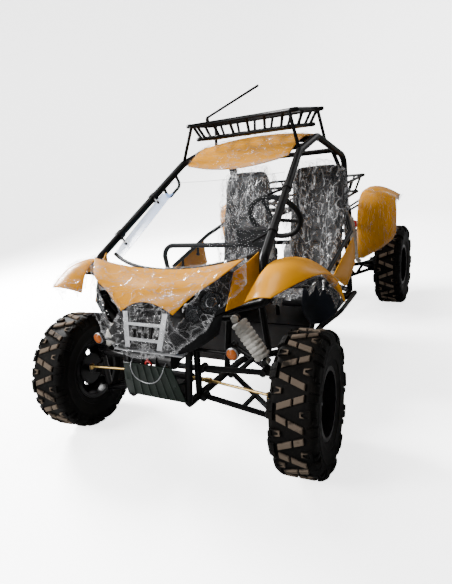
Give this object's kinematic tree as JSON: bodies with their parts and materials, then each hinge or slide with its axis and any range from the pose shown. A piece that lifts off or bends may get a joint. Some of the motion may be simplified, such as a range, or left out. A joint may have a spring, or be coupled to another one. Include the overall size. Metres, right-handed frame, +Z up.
{
  "type": "dune buggy",
  "caption": "Two-seat dune buggy with a tube frame, roll cage, moulded panels, luggage racks and wheels that roll and steer.",
  "frame": {"origin": "on the ground below the middle of the box", "axes": "the front faces -Y, +X is the driver's side, +Z is up"},
  "size_m": [1.651, 3.0281, 1.8252],
  "materials": {
    "black_tube": "satin",
    "yellow_panel": "gloss",
    "black_plastic": "matte",
    "tyre": "matte",
    "rim": "gloss",
    "sleeve": "matte",
    "seat": "satin",
    "dark_metal": "satin",
    "gold_metal": "satin",
    "bright_metal": "satin",
    "lamp_glass": "gloss",
    "screen": "gloss",
    "amber": "gloss",
    "red_plastic": "gloss",
    "red_paint": "gloss",
    "engine_metal": "satin",
    "exhaust_metal": "satin",
    "skid_paint": "satin",
    "black_rubber": "matte"
  },
  "bodies": {
    "chassis": {"frame_rails": "black_tube", "frame_crossmembers": "black_tube", "front_towers": "black_tube", "rear_frame": "black_tube", "rear_bumper": "black_tube", "cage_sides": "black_tube", "cage_crossbars": "black_tube", "cage_stays": "black_tube", "side_bars": "black_tube", "floor_pan": "dark_metal", "front_arms": "black_tube", "front_shocks": "sleeve", "trailing_arms": "black_tube", "rear_shocks": "sleeve", "drive_shafts": "dark_metal", "rack_housing": "dark_metal", "steering_column": "black_plastic", "bonnet": "yellow_panel", "nose_cover": "black_plastic", "grille": "black_plastic", "grille_trim": "bright_metal", "headlamps": "black_plastic", "headlamp_glasses": "lamp_glass", "cowl_sides": "yellow_panel", "front_fenders": "yellow_panel", "mudguards": "black_plastic", "roof_panel": "yellow_panel", "rear_fenders": "yellow_panel", "side_panels": "yellow_panel", "windscreen": "screen", "windscreen_clamps": "black_plastic", "seat_left": "seat", "seat_right": "seat", "seat_feet": "black_tube", "dashboard": "black_plastic", "roof_rack": "black_tube", "rear_rack": "black_tube", "antenna": "black_rubber", "skid_plate": "skid_paint", "winch": "dark_metal", "winch_plate": "bright_metal", "tow_hook": "red_paint", "engine": "engine_metal", "transaxle": "engine_metal", "exhaust": "exhaust_metal", "turn_lamps": "amber", "tail_lamps": "red_plastic", "panel_brackets": "black_tube"},
    "knuckle_left": {"knuckle_left": "dark_metal"},
    "knuckle_right": {"knuckle_right": "dark_metal"},
    "front_wheel_left": {"front_rim_left": "rim", "front_tyre_left": "tyre"},
    "front_wheel_right": {"front_rim_right": "rim", "front_tyre_right": "tyre"},
    "rear_wheel_left": {"rear_rim_left": "rim", "rear_tyre_left": "tyre"},
    "rear_wheel_right": {"rear_rim_right": "rim", "rear_tyre_right": "tyre"},
    "steering_rack": {"tie_rods": "gold_metal"},
    "hand_wheel": {"steering_wheel": "black_plastic"}
  },
  "joints": [
    {"name": "left_steer", "type": "hinge", "parent": "chassis", "child": "knuckle_left", "pos_m": [0.5385, -1.16604, 0.33], "axis": [0, 0, 1], "range_deg": [-33, 23]},
    {"name": "right_steer", "type": "hinge", "parent": "chassis", "child": "knuckle_right", "pos_m": [-0.5385, -1.16604, 0.33], "axis": [0, 0, 1], "range_deg": [-33, 23]},
    {"name": "rack_slide", "type": "slide", "parent": "chassis", "child": "steering_rack", "axis": [1, 0, 0], "range_m": [-0.0585, 0.041]},
    {"name": "wheel_turn", "type": "hinge", "parent": "chassis", "child": "hand_wheel", "pos_m": [0.28, -0.42304, 1.047], "axis": [0, 0.848, 0.5299], "range_deg": [-298, 208]},
    {"name": "front_left_spin", "type": "hinge", "parent": "knuckle_left", "child": "front_wheel_left", "pos_m": [0.68942, -1.15284, 0.33], "axis": [0.9962, 0.0872, 0], "continuous": true},
    {"name": "front_right_spin", "type": "hinge", "parent": "knuckle_right", "child": "front_wheel_right", "pos_m": [-0.68942, -1.17925, 0.33], "axis": [0.9962, 0.0872, 0], "continuous": true},
    {"name": "rear_left_spin", "type": "hinge", "parent": "chassis", "child": "rear_wheel_left", "pos_m": [0.65, 1.14396, 0.33], "axis": [1, 0, 0], "continuous": true},
    {"name": "rear_right_spin", "type": "hinge", "parent": "chassis", "child": "rear_wheel_right", "pos_m": [-0.65, 1.14396, 0.33], "axis": [1, 0, 0], "continuous": true}
  ],
  "couplings": [
    {"joint": "right_steer", "follows": "left_steer", "ratio": 1},
    {"joint": "rack_slide", "follows": "left_steer", "m_per_rad": 0.1005},
    {"joint": "wheel_turn", "follows": "left_steer", "ratio": 9}
  ]
}
